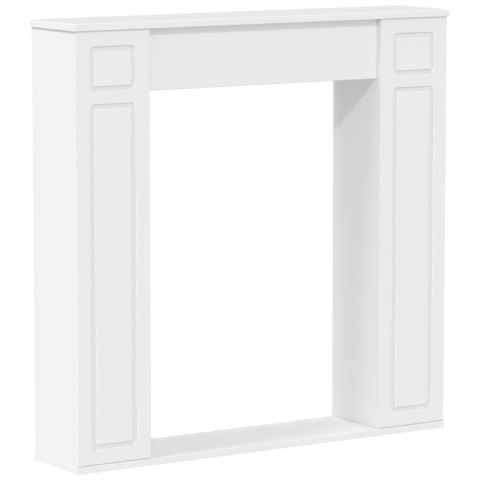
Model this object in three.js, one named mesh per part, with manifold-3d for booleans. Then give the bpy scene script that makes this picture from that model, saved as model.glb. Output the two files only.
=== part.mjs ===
// Fireplace mantelpiece: a white lacquered surround of plain boards that stands against a wall.
// Two hollow pilasters, open at the back, carry a shelf and stand on one bottom board, with a
// frieze panel set back between their heads. Their fronts have two routed groove frames each.
// Millimetres. X runs along the width, Y from the front to the wall, and Z up. The origin is on
// the floor, under the middle of the whole.
import * as THREE from "three";
import { mergeVertices } from "three/addons/utils/BufferGeometryUtils.js";
import Module from "manifold-3d";

const wasm = await Module();
wasm.setup();

// Overall sizes, without the overhangs of the shelf and the bottom board
const HEIGHT = 1000;
const CARCASS_WIDTH = 1006;
const CARCASS_DEPTH = 195;

// Boards
const SHELF_THICKNESS = 16;
const BOTTOM_THICKNESS = 16;
const FRONT_THICKNESS = 16;
const SIDE_THICKNESS = 16;
const FRIEZE_THICKNESS = 16;
const SHELF_OVERHANG = 5;
const BOTTOM_OVERHANG = 2;
const PILASTER_WIDTH = 189;
const FRIEZE_HEIGHT = 140;
const JOINT_GAP = 0.3;

// Eased arrises. The fronts' lower one is the widest. Upright corners and the undersides of the
// overhanging boards are only broken.
const SHELF_ARRIS = 2;
const BOTTOM_ARRIS = 1.5;
const FRONT_ARRIS = 1.5;
const FOOT_ARRIS = 3;
const FRIEZE_ARRIS = 1.5;
const BROKEN_ARRIS = 0.5;

// Routed groove frames in the pilaster fronts, measured over the grooves' rounded lips
const GROOVE_WIDTH = 14;
const GROOVE_DEPTH = 3.5;
const GROOVE_LIP_RADIUS = 2;
const GROOVE_FLOOR_RADIUS = 1.2;
const GROOVE_INNER_RADIUS = 0.5;
const GROOVE_SIDE_MARGIN = 35;
const GROOVE_TOP_MARGIN = 34;
const GROOVE_BOTTOM_MARGIN = 33;
const UPPER_FRAME_HEIGHT = 101.5;
const FRAME_SPACING = 25.5;

// How finely round stretches are cut into flats
const ARRIS_STEPS = 4;
const LIP_STEPS = 4;
const FLOOR_STEPS = 3;
const CORNER_STEPS = 6;
const QUARTER = Math.PI / 2;

// Faces that the boards share
const BACK_Y = (CARCASS_DEPTH + Math.max(SHELF_OVERHANG, BOTTOM_OVERHANG)) / 2;
const FRONT_Y = BACK_Y - CARCASS_DEPTH;
const SHELF_UNDERSIDE = HEIGHT - SHELF_THICKNESS;
const CARCASS_TOP = SHELF_UNDERSIDE - JOINT_GAP;
const CARCASS_BOTTOM = BOTTOM_THICKNESS + JOINT_GAP;
const SIDE_FRONT_Y = FRONT_Y + FRONT_THICKNESS + JOINT_GAP;
const OUTER_X = CARCASS_WIDTH / 2;
const INNER_X = OUTER_X - PILASTER_WIDTH;

const lacquer = { color: 0xf1f1f0, roughness: 0.42, metalness: 0 };

// A geometry's closed surface as a solid
function solidOf(geometry) {
  const bare = new THREE.BufferGeometry();
  bare.setAttribute("position", geometry.getAttribute("position"));
  bare.setIndex(geometry.getIndex());
  const merged = mergeVertices(bare);
  return new wasm.Manifold(
    new wasm.Mesh({
      numProp: 3,
      vertProperties: merged.getAttribute("position").array,
      triVerts: new Uint32Array(merged.getIndex().array),
    }),
  );
}

// A solid as a geometry with flat-shaded faces
function geometryOf(solid) {
  const mesh = solid.getMesh();
  const geometry = new THREE.BufferGeometry();
  geometry.setAttribute("position", new THREE.BufferAttribute(mesh.vertProperties, 3));
  geometry.setIndex(new THREE.BufferAttribute(mesh.triVerts, 1));
  const faceted = geometry.toNonIndexed();
  faceted.computeVertexNormals();
  return faceted;
}

// A rectangle about the origin, with a radius at each corner: low left, low right, high right
// and high left. No radius passes half of the rectangle's shorter side.
function rectangle(width, height, radii) {
  const shape = new THREE.Shape();
  const corners = [[-1, -1], [1, -1], [1, 1], [-1, 1]];
  corners.forEach(([sideX, sideY], corner) => {
    const radius = Math.min(radii[corner], width / 2, height / 2);
    const x = sideX * (width / 2 - radius);
    const y = sideY * (height / 2 - radius);
    const start = (corner + 2) * QUARTER;
    if (radius > 0) shape.absarc(x, y, radius, start, start + QUARTER, false);
    else if (corner === 0) shape.moveTo(x, y);
    else shape.lineTo(x, y);
  });
  shape.closePath();
  return shape;
}

// A shape carried straight through a length, with the middle of the length at the origin.
// The three directions say where the shape's x, its y and the length run.
function carried(shape, length, directions) {
  const options = { depth: length, bevelEnabled: false, curveSegments: ARRIS_STEPS };
  const geometry = new THREE.ExtrudeGeometry(shape, options);
  geometry.translate(0, 0, -length / 2);
  geometry.applyMatrix4(new THREE.Matrix4().makeBasis(...directions));
  return solidOf(geometry);
}

const X = new THREE.Vector3(1, 0, 0);
const Y = new THREE.Vector3(0, 1, 0);
const Z = new THREE.Vector3(0, 0, 1);

// A board about the origin, with the arris radius of its corners in plan, seen from above, and
// in its section, seen along the width
function board({ width, depth, height }, plan, section) {
  const fromAbove = carried(rectangle(width, depth, plan), height, [X, Y, Z]);
  const fromSide = carried(rectangle(depth, height, section), width, [Y, Z, X]);
  return fromAbove.intersect(fromSide);
}

// The shelf and the bottom board are eased round their top, along the front and both ends, and
// square at the back.
function overhangingBoard({ width, depth, height }, arris) {
  const plan = [BROKEN_ARRIS, BROKEN_ARRIS, 0, 0];
  const square = board({ width, depth, height }, plan, [BROKEN_ARRIS, 0, 0, arris]);
  const ends = rectangle(width, height, [BROKEN_ARRIS, BROKEN_ARRIS, arris, arris]);
  return square.intersect(carried(ends, depth, [X, Z, Y.clone().negate()]));
}

// The section of a groove as [outwards from its middle, into the board] points: open above the
// face, with a rounded lip, an upright wall and a cove at the foot of it on each side
function grooveSection() {
  const half = GROOVE_WIDTH / 2;
  const lip = Math.min(GROOVE_LIP_RADIUS, GROOVE_DEPTH, half);
  const wall = half - lip;
  const cove = Math.min(GROOVE_FLOOR_RADIUS, GROOVE_DEPTH - lip, wall);
  const points = [[half, -GROOVE_DEPTH]];
  for (let step = 0; step <= LIP_STEPS; step += 1) {
    const angle = (step / LIP_STEPS) * QUARTER;
    points.push([half - lip * Math.sin(angle), lip * (1 - Math.cos(angle))]);
  }
  for (let step = 0; step <= FLOOR_STEPS; step += 1) {
    const angle = (step / FLOOR_STEPS) * QUARTER;
    const outwards = wall - cove + cove * Math.cos(angle);
    points.push([outwards, GROOVE_DEPTH - cove + cove * Math.sin(angle)]);
  }
  const mirrored = points.map(([outwards, into]) => [-outwards, into]);
  return points.concat(mirrored.reverse());
}

// The cutter for one groove frame: the section carried round a rectangle whose corners are arcs.
// Width and height are measured over the groove's lips, and the face cut into is at y = 0.
function grooveFrame(width, height) {
  const section = grooveSection();
  const middleRadius = GROOVE_INNER_RADIUS + GROOVE_WIDTH / 2;
  const outerRadius = GROOVE_INNER_RADIUS + GROOVE_WIDTH;
  const positions = [];
  const corners = [[1, 1], [-1, 1], [-1, -1], [1, -1]];
  corners.forEach(([sideX, sideZ], corner) => {
    const centreX = sideX * (width / 2 - outerRadius);
    const centreZ = sideZ * (height / 2 - outerRadius);
    for (let step = 0; step <= CORNER_STEPS; step += 1) {
      const angle = (corner + step / CORNER_STEPS) * QUARTER;
      for (const [outwards, into] of section) {
        const x = centreX + (middleRadius + outwards) * Math.cos(angle);
        const z = centreZ + (middleRadius + outwards) * Math.sin(angle);
        positions.push(x, into, z);
      }
    }
  });
  const across = section.length;
  const stations = corners.length * (CORNER_STEPS + 1);
  const index = [];
  for (let station = 0; station < stations; station += 1) {
    for (let place = 0; place < across; place += 1) {
      const next = (place + 1) % across;
      const here = station * across;
      const there = ((station + 1) % stations) * across;
      index.push(here + place, here + next, there + place);
      index.push(here + next, there + next, there + place);
    }
  }
  const geometry = new THREE.BufferGeometry();
  geometry.setAttribute("position", new THREE.Float32BufferAttribute(positions, 3));
  geometry.setIndex(index);
  return solidOf(geometry);
}

// A pilaster's front: the arrises round its face are eased, and two groove frames are cut into it.
function pilasterFront(width, height) {
  const size = { width, depth: FRONT_THICKNESS, height };
  const plan = [BROKEN_ARRIS, BROKEN_ARRIS, 0, 0];
  const plain = board(size, plan, [FOOT_ARRIS, 0, 0, FRONT_ARRIS]);
  const frameWidth = width - 2 * GROOVE_SIDE_MARGIN;
  const upperTop = height / 2 + JOINT_GAP - GROOVE_TOP_MARGIN;
  const upperBottom = upperTop - UPPER_FRAME_HEIGHT;
  const lowerTop = upperBottom - FRAME_SPACING;
  const lowerBottom = -height / 2 - JOINT_GAP + GROOVE_BOTTOM_MARGIN;
  const frames = [[upperBottom, upperTop], [lowerBottom, lowerTop]];
  return frames.reduce((cut, [bottom, top]) => {
    const frame = grooveFrame(frameWidth, top - bottom);
    return cut.subtract(frame.translate([0, -FRONT_THICKNESS / 2, (bottom + top) / 2]));
  }, plain);
}

const mantelpiece = new THREE.Group();

// Adds one board, whose solid is about its own middle, with that middle at a place
function add(name, solid, x, y, z) {
  const mesh = new THREE.Mesh(geometryOf(solid), new THREE.MeshStandardMaterial(lacquer));
  mesh.name = name;
  mesh.position.set(x, y, z);
  mantelpiece.add(mesh);
}

// The shelf on top and the board under the feet run the whole width.
function addOverhangingBoard(name, thickness, overhang, arris, underside) {
  const depth = CARCASS_DEPTH + overhang;
  const size = { width: CARCASS_WIDTH + 2 * overhang, depth, height: thickness };
  add(name, overhangingBoard(size, arris), 0, BACK_Y - depth / 2, underside + thickness / 2);
}

addOverhangingBoard("top_shelf", SHELF_THICKNESS, SHELF_OVERHANG, SHELF_ARRIS, SHELF_UNDERSIDE);
addOverhangingBoard("bottom_board", BOTTOM_THICKNESS, BOTTOM_OVERHANG, BOTTOM_ARRIS, 0);

// Each pilaster is a front laid over the front edges of two side panels. Its back is open.
const carcassHeight = CARCASS_TOP - CARCASS_BOTTOM;
const carcassMiddleZ = (CARCASS_TOP + CARCASS_BOTTOM) / 2;
const front = pilasterFront(PILASTER_WIDTH, carcassHeight);
const sideDepth = BACK_Y - SIDE_FRONT_Y;
const sideSize = { width: SIDE_THICKNESS, depth: sideDepth, height: carcassHeight };
const side = board(sideSize, [0, 0, 0, 0], [0, 0, 0, 0]);
for (const [hand, towards] of [["left", -1], ["right", 1]]) {
  const frontX = towards * (OUTER_X - PILASTER_WIDTH / 2);
  const outerX = towards * (OUTER_X - SIDE_THICKNESS / 2);
  const innerX = towards * (INNER_X + SIDE_THICKNESS / 2);
  const sideY = BACK_Y - sideDepth / 2;
  add(hand + "_pilaster_front", front, frontX, FRONT_Y + FRONT_THICKNESS / 2, carcassMiddleZ);
  add(hand + "_outer_side", side, outerX, sideY, carcassMiddleZ);
  add(hand + "_inner_side", side, innerX, sideY, carcassMiddleZ);
}

// The frieze fits between the inner side panels, with its face in line with their front edges.
const friezeSize = {
  width: 2 * (INNER_X - JOINT_GAP),
  depth: FRIEZE_THICKNESS,
  height: FRIEZE_HEIGHT - JOINT_GAP,
};
const frieze = board(friezeSize, [0, 0, 0, 0], [FRIEZE_ARRIS, 0, 0, 0]);
const friezeY = SIDE_FRONT_Y + FRIEZE_THICKNESS / 2;
add("frieze_panel", frieze, 0, friezeY, CARCASS_TOP - friezeSize.height / 2);

export default mantelpiece;
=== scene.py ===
import math

import bpy
from mathutils import Euler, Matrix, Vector


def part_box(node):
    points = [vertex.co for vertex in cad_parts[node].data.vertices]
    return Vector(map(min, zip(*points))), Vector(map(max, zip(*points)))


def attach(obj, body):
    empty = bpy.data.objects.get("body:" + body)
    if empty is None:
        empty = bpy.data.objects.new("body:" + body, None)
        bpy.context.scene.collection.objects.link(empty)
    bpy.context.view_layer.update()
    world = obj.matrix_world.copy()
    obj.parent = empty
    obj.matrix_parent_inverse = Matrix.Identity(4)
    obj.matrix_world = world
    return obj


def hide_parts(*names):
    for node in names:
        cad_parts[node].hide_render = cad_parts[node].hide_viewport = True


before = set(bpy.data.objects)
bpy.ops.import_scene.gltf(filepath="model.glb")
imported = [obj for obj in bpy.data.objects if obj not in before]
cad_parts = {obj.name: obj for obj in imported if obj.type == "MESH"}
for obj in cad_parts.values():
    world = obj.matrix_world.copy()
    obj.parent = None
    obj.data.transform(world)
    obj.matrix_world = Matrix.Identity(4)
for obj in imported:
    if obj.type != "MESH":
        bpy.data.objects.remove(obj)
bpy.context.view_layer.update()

# The bottom board: one length of dense fibreboard, flat on the floor under both pilasters and
# across the opening. Its front and ends are sanded round before the white satin lacquer goes
# on. Its back edge, which meets the wall, is only broken with paper.
BOTTOM_ARRIS = 0.0015
BROKEN_ARRIS = 0.0005
PAPERED_ARRIS = 0.0002
ARRIS_FACETS = 5
WIDE_FACE_WEIGHT = 100
SAME_PLACE = 0.000001
LACQUER_WHITE = Vector((0.80, 0.80, 0.80))
LACQUER_SHADE = Vector((0.79, 0.79, 0.79))
LACQUER_IOR = 1.48

# Scale and detail of the lacquer's faint clouds, of its rubbed patches and of its orange peel
CLOUD_NOISE = (3.5, 3.0)
RUB_NOISE = (40.0, 4.0)
PEEL_NOISE = (420.0, 1.5)
RUB_RANGE = 0.05
PEEL_STRENGTH = 0.6

scene = bpy.context.scene


def lacquer(name, shine, pebble, painted_shade_share):
    """White satin lacquer. shine is its roughness, pebble the depth of its orange peel, and
    the last argument the share by which its colour is darkened below a face's, as painted shade."""
    material = bpy.data.materials.new(name)
    material.use_nodes = True
    nodes, links = material.node_tree.nodes, material.node_tree.links
    shader = nodes["Principled BSDF"]
    shader.inputs["IOR"].default_value = LACQUER_IOR
    place = nodes.new("ShaderNodeTexCoord")

    def noise(scale, detail):
        made = nodes.new("ShaderNodeTexNoise")
        made.inputs["Scale"].default_value = scale
        made.inputs["Detail"].default_value = detail
        links.new(place.outputs["Object"], made.inputs["Vector"])
        return made.outputs["Fac"]

    tint = nodes.new("ShaderNodeMix")
    tint.data_type = "RGBA"
    tint.inputs["A"].default_value = (*(LACQUER_SHADE * (1 - painted_shade_share)), 1)
    tint.inputs["B"].default_value = (*(LACQUER_WHITE * (1 - painted_shade_share)), 1)
    links.new(noise(*CLOUD_NOISE), tint.inputs["Factor"])
    links.new(tint.outputs["Result"], shader.inputs["Base Color"])

    gloss = nodes.new("ShaderNodeMapRange")
    gloss.inputs["To Min"].default_value = shine - RUB_RANGE
    gloss.inputs["To Max"].default_value = shine + RUB_RANGE
    links.new(noise(*RUB_NOISE), gloss.inputs["Value"])
    links.new(gloss.outputs["Result"], shader.inputs["Roughness"])

    bump = nodes.new("ShaderNodeBump")
    bump.inputs["Distance"].default_value = pebble
    bump.inputs["Strength"].default_value = PEEL_STRENGTH
    links.new(noise(*PEEL_NOISE), bump.inputs["Height"])
    links.new(bump.outputs["Normal"], shader.inputs["Normal"])
    return material


satin = lacquer("satin_lacquer", shine=0.42, pebble=0.00003, painted_shade_share=0.0)


def sawn_board(name, low, high, rounded, arris):
    """A board between two corners. rounded gives each sanded arris, as the sides that meet there,
    its radius. arris is the largest of them."""
    sides = {"left": (0, low), "right": (0, high), "front": (1, low), "back": (1, high),
             "under": (2, low), "top": (2, high)}
    corners = [(x, y, z) for x in (low.x, high.x) for y in (low.y, high.y) for z in (low.z, high.z)]
    faces = [(0, 1, 3, 2), (4, 6, 7, 5), (0, 4, 5, 1), (2, 3, 7, 6), (0, 2, 6, 4), (1, 5, 7, 3)]
    mesh = bpy.data.meshes.new(name)
    mesh.from_pydata(corners, [], faces)
    mesh.materials.append(satin)
    weight = mesh.attributes.new("bevel_weight_edge", "FLOAT", "EDGE")
    for edge in mesh.edges:
        ends = [mesh.vertices[v].co for v in edge.vertices]
        on = {side for side, (axis, corner) in sides.items()
              if all(abs(end[axis] - corner[axis]) < SAME_PLACE for end in ends)}
        radii = [radius for pair, radius in rounded.items() if set(pair) == on]
        weight.data[edge.index].value = max(radii, default=PAPERED_ARRIS) / arris
    piece = bpy.data.objects.new(name, mesh)
    scene.collection.objects.link(piece)
    sand = piece.modifiers.new("sand", "BEVEL")
    sand.limit_method = "WEIGHT"
    sand.width = arris
    sand.segments = ARRIS_FACETS
    sand.use_clamp_overlap = False
    return piece


def overhanging_board(name, node, arris):
    """A board whose top is sanded round along its front and both ends."""
    rounded = {(side, "top"): arris for side in ("front", "left", "right")}
    rounded.update({(side, "under"): BROKEN_ARRIS for side in ("front", "left", "right")})
    rounded.update({("front", end): BROKEN_ARRIS for end in ("left", "right")})
    return sawn_board(name, *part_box(node), rounded, arris)


def finish_board(piece):
    """Turns what a board's modifiers make into its own plain mesh, with flat shading on its wide
    faces and round shading on its arrises."""
    piece.data.shade_smooth()
    weigh = piece.modifiers.new("weigh", "WEIGHTED_NORMAL")
    weigh.mode = "FACE_AREA"
    weigh.weight = WIDE_FACE_WEIGHT
    graph = bpy.context.evaluated_depsgraph_get()
    mesh = bpy.data.meshes.new_from_object(piece.evaluated_get(graph))
    piece.modifiers.clear()
    piece.data = mesh
    mesh.name = piece.name


bottom = overhanging_board("bottom_board_lacquered", "bottom_board", BOTTOM_ARRIS)
finish_board(bottom)
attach(bottom, "root")
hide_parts("bottom_board")

# The side panels: four alike, two to a pilaster, glued upright on the bottom board. A front is
# glued over their front edges. Their back edges meet the wall.
for node in ("left_outer_side", "left_inner_side", "right_inner_side", "right_outer_side"):
    panel = sawn_board(node + "_lacquered", *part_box(node), {}, PAPERED_ARRIS)
    finish_board(panel)
    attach(panel, "root")
    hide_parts(node)

# The pilaster fronts: two alike, each a board with two frames routed into its face by a bit
# that leaves short upright walls, a coved floor and round outer corners. The lacquer in the
# grooves is rougher than on the face, and its colour is darkened there as painted shade. The lips
# of the grooves are rounded.
FRONT_ARRIS = 0.0015
FOOT_ARRIS = 0.003
JOINT_GAP = 0.0003
GROOVE_WIDTH = 0.014
GROOVE_DEPTH = 0.0035
GROOVE_COVE = 0.0012
GROOVE_LIP = 0.002
GROOVE_INNER_RADIUS = 0.0005
GROOVE_SIDE_MARGIN = 0.035
GROOVE_TOP_MARGIN = 0.034 - JOINT_GAP
GROOVE_BOTTOM_MARGIN = 0.033 - JOINT_GAP
UPPER_FRAME_HEIGHT = 0.1015
FRAME_SPACING = 0.0255
SECTION_STEPS = 6
CORNER_STEPS = 16
FACING_FRONT = -0.999
WELD_DISTANCE = 0.000002

# Painted shade: the lacquer in the grooves is made 7 percent darker than on the face, standing in
# for the shade that falls in the grooves.
groove_lacquer_with_painted_shade = lacquer("lacquer_in_the_grooves", shine=0.5, pebble=0.00005, painted_shade_share=0.07)


def router_bit():
    """The groove's section as a curve: across the groove, and down into the board."""
    half = GROOVE_WIDTH / 2
    wall = half - GROOVE_LIP
    turns = [math.radians(90 * step / SECTION_STEPS) for step in range(SECTION_STEPS + 1)]
    lip = [(half - GROOVE_LIP * math.sin(turn), GROOVE_LIP * (1 - math.cos(turn)))
           for turn in turns]
    cove = [(wall - GROOVE_COVE * (1 - math.cos(turn)),
             GROOVE_DEPTH - GROOVE_COVE * (1 - math.sin(turn))) for turn in turns]
    side = lip + cove
    section = side + [(-across, into) for across, into in reversed(side)]
    curve = bpy.data.curves.new("router_bit", "CURVE")
    curve.dimensions = "3D"
    line = curve.splines.new("POLY")
    line.points.add(len(section) - 1)
    for point, (across, into) in zip(line.points, section):
        point.co = (across, into, 0, 1)
    made = bpy.data.objects.new("router_bit", curve)
    scene.collection.objects.link(made)
    return made


def routing_tree():
    """Geometry Nodes that rout an upper and a lower frame into the front face of a board."""
    tree = bpy.data.node_groups.new("routed_frames", "GeometryNodeTree")
    sockets = {"Board": "Geometry", "Bit": "Object", "Face": "Float", "Middle": "Float",
               "Frame Width": "Float", "Upper Height": "Float", "Upper Middle": "Float",
               "Lower Height": "Float", "Lower Middle": "Float", "Path Radius": "Float",
               "Lip Depth": "Float", "Corner Steps": "Int", "Face Lacquer": "Material",
               "Groove Lacquer": "Material"}
    for name, kind in sockets.items():
        tree.interface.new_socket(name=name, in_out="INPUT", socket_type="NodeSocket" + kind)
    tree.interface.new_socket(name="Board", in_out="OUTPUT", socket_type="NodeSocketGeometry")
    given = tree.nodes.new("NodeGroupInput").outputs

    def node(kind, modes=(), **inputs):
        made = tree.nodes.new(kind)
        for name, value in dict(modes).items():
            setattr(made, name, value)
        for name, value in inputs.items():
            socket = made.inputs[name.replace("_", " ")]
            if isinstance(value, bpy.types.NodeSocket):
                tree.links.new(value, socket)
            else:
                socket.default_value = value
        return made

    def turned(geometry, degrees, shift):
        tilt = Euler((math.radians(degrees), 0, 0))
        moved = node("GeometryNodeTransform", Geometry=geometry, Rotation=tilt, Translation=shift)
        return moved.outputs["Geometry"]

    # Each frame's path is drawn flat, along the middle of the groove.
    paths = node("GeometryNodeJoinGeometry")
    for which in ("Upper", "Lower"):
        frame_path = node("GeometryNodeCurvePrimitiveQuadrilateral",
                          Width=given["Frame Width"], Height=given[which + " Height"])
        centre = node("ShaderNodeCombineXYZ", X=given["Middle"], Y=given[which + " Middle"])
        placed = node("GeometryNodeTransform", Geometry=frame_path.outputs["Curve"],
                      Translation=centre.outputs["Vector"])
        tree.links.new(placed.outputs["Geometry"], paths.inputs["Geometry"])
    rounded = node("GeometryNodeFilletCurve", {"mode": "POLY"}, Curve=paths.outputs["Geometry"],
                   Count=given["Corner Steps"], Radius=given["Path Radius"])
    upright = node("GeometryNodeSetCurveNormal", {"mode": "Z_UP"}, Curve=rounded.outputs["Curve"])
    cutter = node("GeometryNodeObjectInfo", Object=given["Bit"])
    swept = node("GeometryNodeCurveToMesh", Curve=upright.outputs["Curve"])
    tree.links.new(cutter.outputs["Geometry"], swept.inputs["Profile Curve"])
    outwards = node("GeometryNodeFlipFaces", Mesh=swept.outputs["Mesh"])
    lips = node("GeometryNodeSetMaterial", Geometry=outwards.outputs["Mesh"],
                Material=given["Face Lacquer"])
    # Below half the lip's depth the groove lacquer, darkened with painted shade, takes over from
    # the face lacquer.
    place = node("GeometryNodeInputPosition")
    height = node("ShaderNodeSeparateXYZ", Vector=place.outputs["Position"])
    deep = node("FunctionNodeCompare", {"operation": "LESS_THAN"},
                A=height.outputs["Z"], B=given["Lip Depth"])
    grooves = node("GeometryNodeSetMaterial", Geometry=lips.outputs["Geometry"],
                   Selection=deep.outputs["Result"], Material=given["Groove Lacquer"])

    # The board loses its flat front face and is laid flat like the paths.
    normal = node("GeometryNodeInputNormal")
    facing = node("ShaderNodeSeparateXYZ", Vector=normal.outputs["Normal"])
    is_front = node("FunctionNodeCompare", {"operation": "LESS_THAN"},
                    A=facing.outputs["Y"], B=FACING_FRONT)
    opened = node("GeometryNodeDeleteGeometry", {"domain": "FACE"}, Geometry=given["Board"],
                  Selection=is_front.outputs["Result"])
    face_down = node("ShaderNodeCombineXYZ", Z=given["Face"])
    flat_board = turned(opened.outputs["Geometry"], -90, face_down.outputs["Vector"])
    shell = node("GeometryNodeJoinGeometry")
    tree.links.new(grooves.outputs["Geometry"], shell.inputs["Geometry"])
    tree.links.new(flat_board, shell.inputs["Geometry"])

    # The open borders of the board and the grooves bound the new face, which is filled in.
    neighbours = node("GeometryNodeInputMeshEdgeNeighbors")
    is_open = node("FunctionNodeCompare", {"data_type": "INT", "operation": "EQUAL"},
                   A=neighbours.outputs["Face Count"], B=1)
    borders = node("GeometryNodeMeshToCurve", Mesh=shell.outputs["Geometry"],
                   Selection=is_open.outputs["Result"])
    face = node("GeometryNodeFillCurve", {"mode": "NGONS"}, Curve=borders.outputs["Curve"])
    lacquered = node("GeometryNodeSetMaterial", Geometry=face.outputs["Mesh"],
                     Material=given["Face Lacquer"])
    whole = node("GeometryNodeJoinGeometry")
    tree.links.new(lacquered.outputs["Geometry"], whole.inputs["Geometry"])
    tree.links.new(shell.outputs["Geometry"], whole.inputs["Geometry"])
    welded = node("GeometryNodeMergeByDistance", Geometry=whole.outputs["Geometry"],
                  Distance=WELD_DISTANCE)

    # The routed board stands up again.
    face_back = node("ShaderNodeCombineXYZ", Y=given["Face"])
    stood = turned(welded.outputs["Geometry"], 90, face_back.outputs["Vector"])
    real = node("GeometryNodeRealizeInstances", Geometry=stood)
    out = tree.nodes.new("NodeGroupOutput")
    tree.links.new(real.outputs["Geometry"], out.inputs["Board"])
    return tree


routing = routing_tree()
bit = router_bit()
for node_name in ("left_pilaster_front", "right_pilaster_front"):
    low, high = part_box(node_name)
    eased = {("front", "top"): FRONT_ARRIS, ("front", "under"): FOOT_ARRIS,
             ("front", "left"): BROKEN_ARRIS, ("front", "right"): BROKEN_ARRIS}
    face_board = sawn_board(node_name + "_lacquered", low, high, eased, FOOT_ARRIS)
    upper_top = high.z - GROOVE_TOP_MARGIN
    upper_under = upper_top - UPPER_FRAME_HEIGHT
    lower_top = upper_under - FRAME_SPACING
    lower_under = low.z + GROOVE_BOTTOM_MARGIN
    values = {
        "Bit": bit,
        "Face": low.y,
        "Middle": (low.x + high.x) / 2,
        "Frame Width": high.x - low.x - 2 * GROOVE_SIDE_MARGIN - GROOVE_WIDTH,
        "Upper Height": upper_top - upper_under - GROOVE_WIDTH,
        "Upper Middle": (upper_top + upper_under) / 2,
        "Lower Height": lower_top - lower_under - GROOVE_WIDTH,
        "Lower Middle": (lower_top + lower_under) / 2,
        "Path Radius": GROOVE_INNER_RADIUS + GROOVE_WIDTH / 2,
        "Lip Depth": -GROOVE_LIP / 2,
        "Corner Steps": CORNER_STEPS,
        "Face Lacquer": satin,
        "Groove Lacquer": groove_lacquer_with_painted_shade,
    }
    rout = face_board.modifiers.new("rout", "NODES")
    rout.node_group = routing
    for item in routing.interface.items_tree:
        if item.in_out == "INPUT" and item.name in values:
            rout[item.identifier] = values[item.name]
    finish_board(face_board)
    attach(face_board, "root")
    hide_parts(node_name)
bpy.data.objects.remove(bit)

# The frieze: one plain panel glued between the inner side panels, level with their front
# edges, so that it lies one board's thickness behind the pilasters' faces.
FRIEZE_ARRIS = 0.0015

frieze = sawn_board("frieze_lacquered", *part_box("frieze_panel"),
                    {("front", "under"): FRIEZE_ARRIS}, FRIEZE_ARRIS)
finish_board(frieze)
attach(frieze, "root")
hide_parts("frieze_panel")

# The shelf: cut and finished like the bottom board, with a wider overhang and a rounder arris,
# and glued down on everything below it.
SHELF_ARRIS = 0.002

shelf = overhanging_board("shelf_lacquered", "top_shelf", SHELF_ARRIS)
finish_board(shelf)
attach(shelf, "root")
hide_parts("top_shelf")

# The studio: a plain white floor and even light from all round, a small hard lamp and a soft one
# from the left, and a wide fill from the front. Two lamps behind shine through the opening, a low
# one onto the bottom board alone and a faint one onto the right inner side panel alone.
FLOOR_SPAN = 120.0
FLOOR_DROP = 0.0005
FLOOR_GLOW = 1.01
SKY_LIGHT = 0.612
SKY_LIGHT_LEFT = 0.78
SKY_LIGHT_BEHIND = 0.583
LAMPS = {
    "front_left_lamp": {"energy": 0.948, "spread": 4.5, "heading": (0.62, 1.0, -0.80)},
    "left_lamp": {"energy": 1.28, "spread": 14.0, "heading": (1.0, 0.026, -1.0)},
    "front_fill": {"energy": 0.55, "spread": 60.0, "heading": (0.1, 1.0, -0.1)},
    "opening_fill": {"energy": 0.1, "spread": 40.0, "heading": (1.0, -0.6, -0.2)},
}
LOW_LAMP_PLACE = Vector((0.65, 4.0, 0.75))
LOW_LAMP_SIZE = (0.6, 0.3)
LOW_LAMP_POWER = 138.0
KEPT_TO = {"low_lamp": "bottom_board_lacquered", "opening_fill": "right_inner_side_lacquered"}

reach = FLOOR_SPAN / 2
floor_mesh = bpy.data.meshes.new("floor")
floor_mesh.from_pydata([(-reach, -reach, -FLOOR_DROP), (reach, -reach, -FLOOR_DROP),
                        (reach, reach, -FLOOR_DROP), (-reach, reach, -FLOOR_DROP)],
                       [], [(0, 1, 2, 3)])
floor = bpy.data.objects.new("floor", floor_mesh)
scene.collection.objects.link(floor)
paper = bpy.data.materials.new("white_paper")
paper.use_nodes = True
paper_nodes = paper.node_tree.nodes
paper_nodes.clear()
paper_glow = paper_nodes.new("ShaderNodeEmission")
paper_glow.inputs["Strength"].default_value = FLOOR_GLOW
paper_out = paper_nodes.new("ShaderNodeOutputMaterial")
paper.node_tree.links.new(paper_glow.outputs["Emission"], paper_out.inputs["Surface"])
floor_mesh.materials.append(paper)
floor.visible_diffuse = False
floor.visible_glossy = False
floor.visible_transmission = False
floor.visible_shadow = False

# The even light changes with its bearing. The camera sees the floor's own white in its place.
world = bpy.data.worlds.new("studio")
world.use_nodes = True
world_nodes, world_links = world.node_tree.nodes, world.node_tree.links
sky = world_nodes["Background"]
sky.inputs["Color"].default_value = (1, 1, 1, 1)
seen = world_nodes.new("ShaderNodeLightPath")
heading = world_nodes.new("ShaderNodeTexCoord")
bearing = world_nodes.new("ShaderNodeSeparateXYZ")
sideways = world_nodes.new("ShaderNodeMapRange")
sideways.inputs["From Min"].default_value = 0.0
sideways.inputs["From Max"].default_value = -1.0
sideways.inputs["To Min"].default_value = SKY_LIGHT
sideways.inputs["To Max"].default_value = SKY_LIGHT_LEFT
dimmer = world_nodes.new("ShaderNodeMapRange")
dimmer.inputs["To Max"].default_value = SKY_LIGHT_BEHIND
backdrop = world_nodes.new("ShaderNodeMix")
backdrop.inputs["B"].default_value = FLOOR_GLOW
world_links.new(heading.outputs["Generated"], bearing.inputs["Vector"])
world_links.new(bearing.outputs["X"], sideways.inputs["Value"])
world_links.new(bearing.outputs["Y"], dimmer.inputs["Value"])
world_links.new(sideways.outputs["Result"], dimmer.inputs["To Min"])
world_links.new(dimmer.outputs["Result"], backdrop.inputs["A"])
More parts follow.
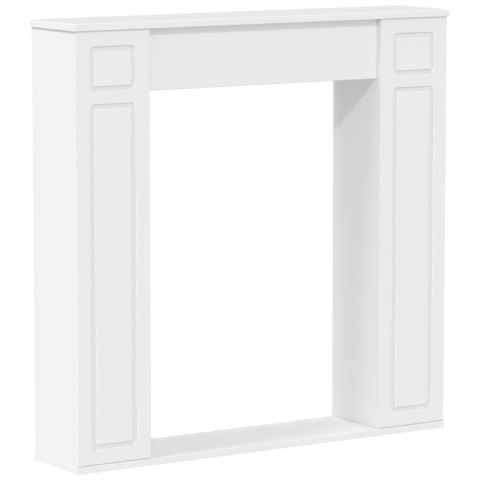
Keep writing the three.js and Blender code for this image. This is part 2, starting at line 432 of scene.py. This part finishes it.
world_links.new(seen.outputs["Is Camera Ray"], backdrop.inputs["Factor"])
world_links.new(backdrop.outputs["Result"], sky.inputs["Strength"])
scene.world = world

for lamp_name, made in LAMPS.items():
    lamp = bpy.data.lights.new(lamp_name, "SUN")
    lamp.energy = made["energy"]
    lamp.angle = math.radians(made["spread"])
    lamp_object = bpy.data.objects.new(lamp_name, lamp)
    lamp_object.rotation_euler = Vector(made["heading"]).to_track_quat("-Z", "Y").to_euler()
    scene.collection.objects.link(lamp_object)

low_lamp = bpy.data.lights.new("low_lamp", "AREA")
low_lamp.shape = "RECTANGLE"
low_lamp.size, low_lamp.size_y = LOW_LAMP_SIZE
low_lamp.energy = LOW_LAMP_POWER
low_lamp_object = bpy.data.objects.new("low_lamp", low_lamp)
low_lamp_object.location = LOW_LAMP_PLACE
low_lamp_object.rotation_euler = (-LOW_LAMP_PLACE).to_track_quat("-Z", "Y").to_euler()
low_lamp_object.visible_camera = False
scene.collection.objects.link(low_lamp_object)

for lamp_name, piece_name in KEPT_TO.items():
    lit = bpy.data.collections.new("lit_by_" + lamp_name)
    lit.objects.link(bpy.data.objects[piece_name])
    bpy.data.objects[lamp_name].light_linking.receiver_collection = lit

scene.view_settings.view_transform = "Standard"
scene.view_settings.look = "None"

# The camera: it stands far off to the left with a long lens, a little above the shelf, and looks
# slightly down. Its place, heading and lens were solved from the edges in the photograph.
CAMERA_PLACE = Vector((-3.8297, -5.9147, 1.4274))
CAMERA_HEADING = math.radians(32.822)
CAMERA_DIP = math.radians(7.670)
CAMERA_REACH = 500.0
FOCAL_PIXELS = 3075.1
IMAGE_PIXELS = 480
SENSOR = 36.0

camera = bpy.data.cameras.new("camera")
camera.sensor_width = SENSOR
camera.lens = FOCAL_PIXELS / IMAGE_PIXELS * SENSOR
camera.clip_end = CAMERA_REACH
camera_object = bpy.data.objects.new("camera", camera)
camera_object.location = CAMERA_PLACE
camera_object.rotation_euler = (math.radians(90) - CAMERA_DIP, 0, -CAMERA_HEADING)
scene.collection.objects.link(camera_object)
scene.camera = camera_object
